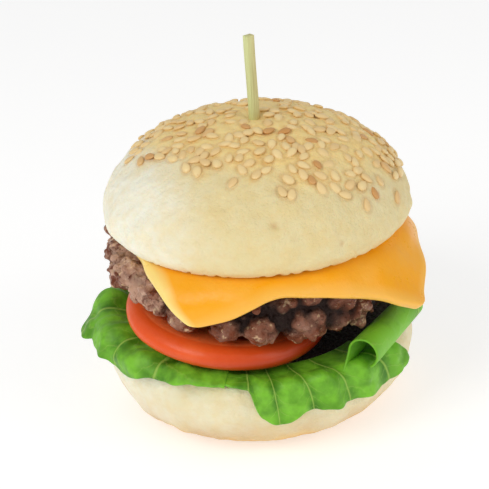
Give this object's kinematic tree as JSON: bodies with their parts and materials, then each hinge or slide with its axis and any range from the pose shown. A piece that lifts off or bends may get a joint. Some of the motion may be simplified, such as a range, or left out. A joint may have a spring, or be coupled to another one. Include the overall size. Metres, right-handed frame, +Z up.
{
  "type": "cheeseburger with sesame bun and bamboo skewer",
  "caption": "Cheeseburger in a sesame bun with a beef patty, melted cheese, tomato and lettuce, pinned by a bamboo skewer.",
  "frame": {"origin": "middle of the flat foot of the bun heel, on the surface the burger stands on", "axes": "+Z up along the skewer, -Y towards the front that shows the cheese's hanging corner, +X to the right"},
  "size_m": [0.1005, 0.0989, 0.1113],
  "materials": {
    "bun": "soft baked bread crust, pale cream at the sides and golden on top, matt with a faint sheen",
    "beef": "coarse grilled mince, brown with paler fat, moist with small highlights",
    "cheese": "smooth melted cheese, orange yellow, satin with soft highlights",
    "tomato": "wet cut tomato with a glossy skin, orange red",
    "lettuce": "fresh leaf, satin, lighter along the ribs",
    "bamboo": "split bamboo, pale greenish straw with fine lengthwise fibres"
  },
  "bodies": {
    "root": {"bun_heel": "bun", "lettuce_left": "lettuce", "lettuce_front": "lettuce", "lettuce_roll": "lettuce", "lettuce_back": "lettuce", "tomato_slice": "tomato", "beef_patty": "beef", "cheese_slice": "cheese", "bun_crown": "bun", "skewer": "bamboo"}
  },
  "joints": []
}
